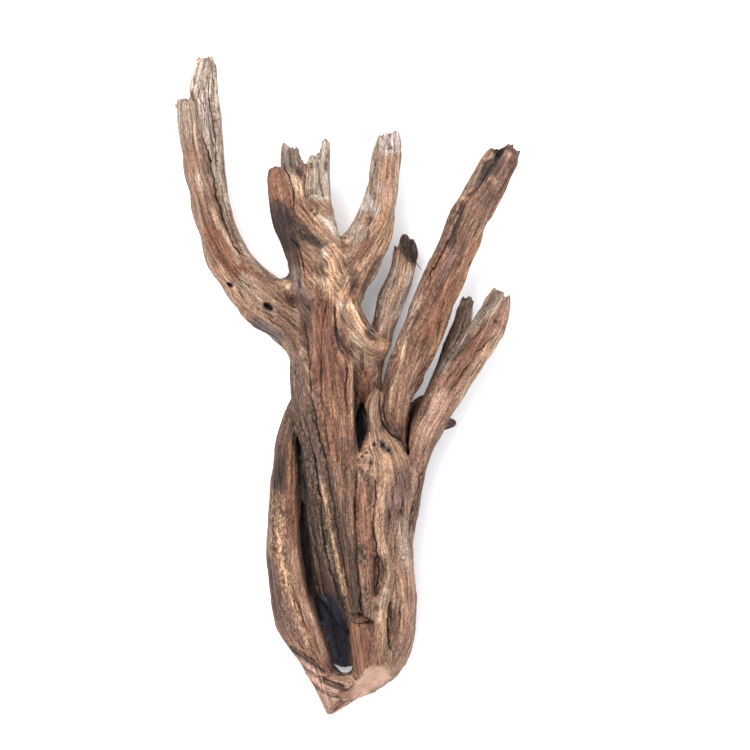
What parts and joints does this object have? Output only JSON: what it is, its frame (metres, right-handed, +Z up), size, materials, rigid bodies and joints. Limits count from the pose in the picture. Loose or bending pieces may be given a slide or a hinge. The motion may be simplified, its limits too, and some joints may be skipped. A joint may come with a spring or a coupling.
{
  "type": "driftwood",
  "caption": "Weathered driftwood butt lying on its back, with a ridged, split trunk, a slot at its sawn base and several broken, splintered branches.",
  "frame": {"origin": "centre of the bounding box, at the height of the surface that the wood rests on", "axes": "+Y along the trunk towards the broken branches, +X towards the branches that lean right, +Z up from the surface that the wood lies on"},
  "size_m": [0.2331, 0.4501, 0.0725],
  "materials": {
    "weathered_wood": "dry, sun-bleached and water-worn bare wood, dull"
  },
  "bodies": {
    "root": {"driftwood": "weathered_wood"}
  },
  "joints": []
}
